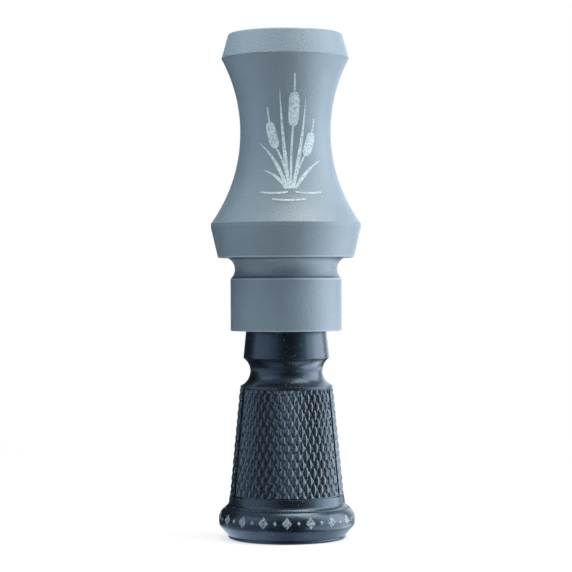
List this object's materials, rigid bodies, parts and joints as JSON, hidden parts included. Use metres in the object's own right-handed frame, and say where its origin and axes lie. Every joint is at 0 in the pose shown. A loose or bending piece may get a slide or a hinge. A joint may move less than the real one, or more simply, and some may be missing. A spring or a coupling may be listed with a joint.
{
  "type": "duck call",
  "caption": "Duck call with a waisted barrel, a chequered flared insert on a taper, and a wedged film reed on a tone board, that sounds when blown.",
  "frame": {"origin": "centre of the foot of the bell, on the call's axis", "axes": "+Z along the call's axis from the bell to the mouth, -Y the way the reed faces, +X to the right of the reed"},
  "size_m": [0.0381, 0.038, 0.1278],
  "materials": {
    "barrel_plastic": "bead-blasted matt slate grey",
    "insert_plastic": "satin black",
    "reed_film": "frosted film",
    "cork": "raw pressed cork"
  },
  "bodies": {
    "insert": {"insert": "insert_plastic"},
    "barrel": {"barrel": "barrel_plastic"},
    "wedge": {"wedge": "cork"},
    "reed": {"reed": "reed_film"}
  },
  "joints": [
    {"name": "barrel_pull", "type": "slide", "parent": "insert", "child": "barrel", "axis": [0, 0, 1], "range_m": [0, 0.06]},
    {"name": "wedge_slide", "type": "slide", "parent": "insert", "child": "wedge", "axis": [0, 0, 1], "range_m": [0, 0.014]},
    {"name": "reed_flex", "type": "hinge", "parent": "insert", "child": "reed", "pos_m": [0, -0.0012, 0.08457], "axis": [-1, 0, 0], "range_deg": [0, 2.4], "stiffness_Nm_per_rad": 0.02, "deforming": ["reed"]}
  ]
}
